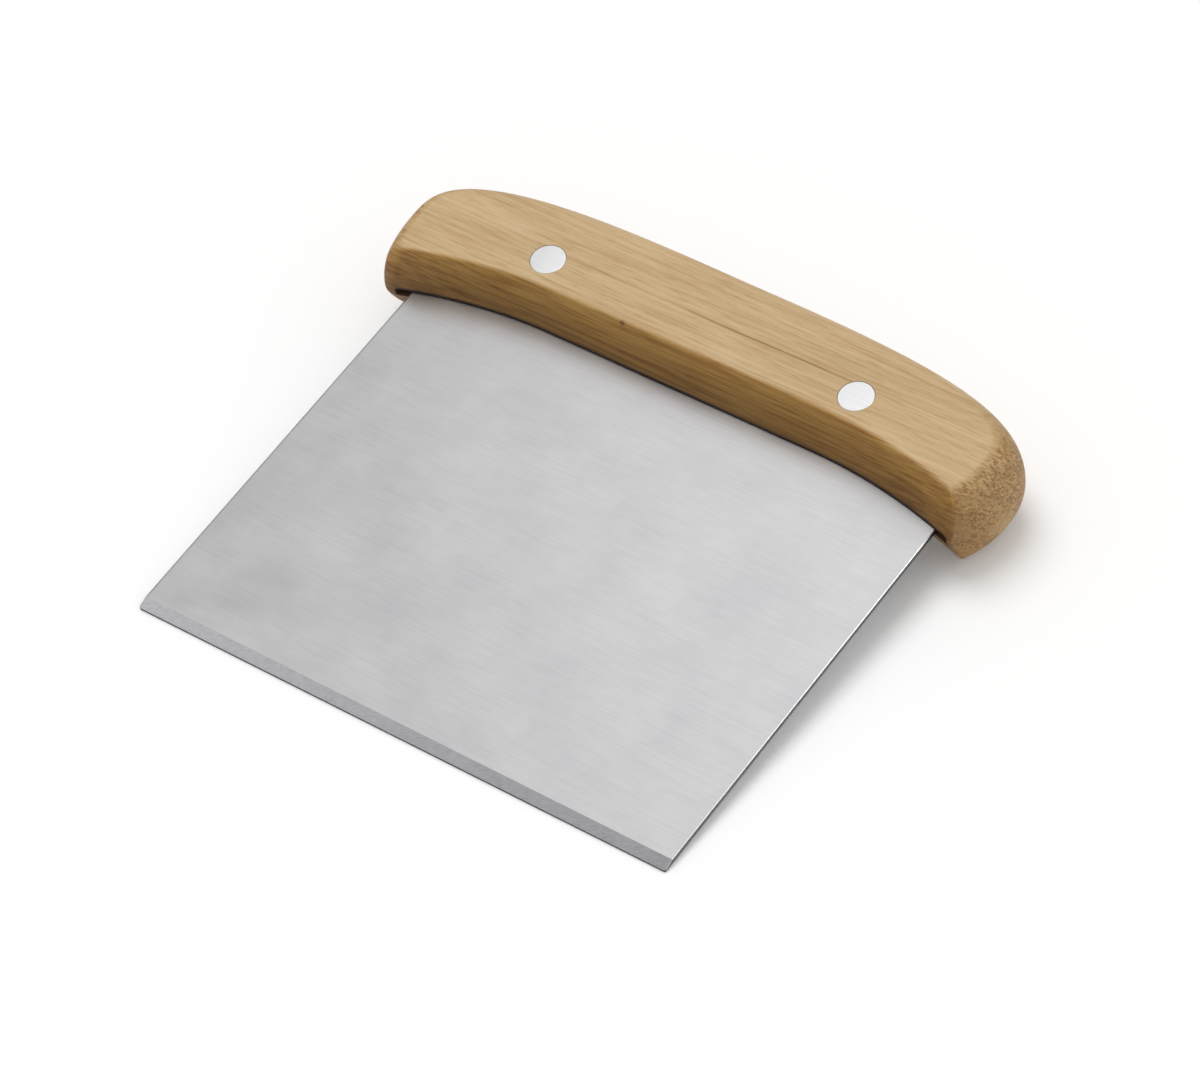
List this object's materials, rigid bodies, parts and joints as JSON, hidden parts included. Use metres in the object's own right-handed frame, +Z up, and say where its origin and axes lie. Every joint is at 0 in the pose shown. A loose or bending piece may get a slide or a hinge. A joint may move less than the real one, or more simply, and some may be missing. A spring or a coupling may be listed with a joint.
{
  "type": "dough scraper",
  "caption": "Hand tool with a flat bevelled steel blade riveted into the slot of an arched, rounded wooden handle, for cutting, lifting and scraping dough on a bench.",
  "frame": {"origin": "on the table, under the middle of the tool's box as it lies on its front edge and the handle's underside", "axes": "+X along the handle, +Y from the blade's front edge to the handle, +Z up from the table"},
  "size_m": [0.1382, 0.1146, 0.0221],
  "materials": {
    "blade_steel": "fine brushed stainless sheet with a ground bevel",
    "handle_wood": "sanded and oiled light hardwood, grain along the handle",
    "rivet_aluminium": "flush sanded rivet heads"
  },
  "bodies": {
    "root": {"blade": "blade_steel", "handle": "handle_wood", "rivet_left_post": "rivet_aluminium", "rivet_left_sleeve": "rivet_aluminium", "rivet_right_post": "rivet_aluminium", "rivet_right_sleeve": "rivet_aluminium"}
  },
  "joints": []
}
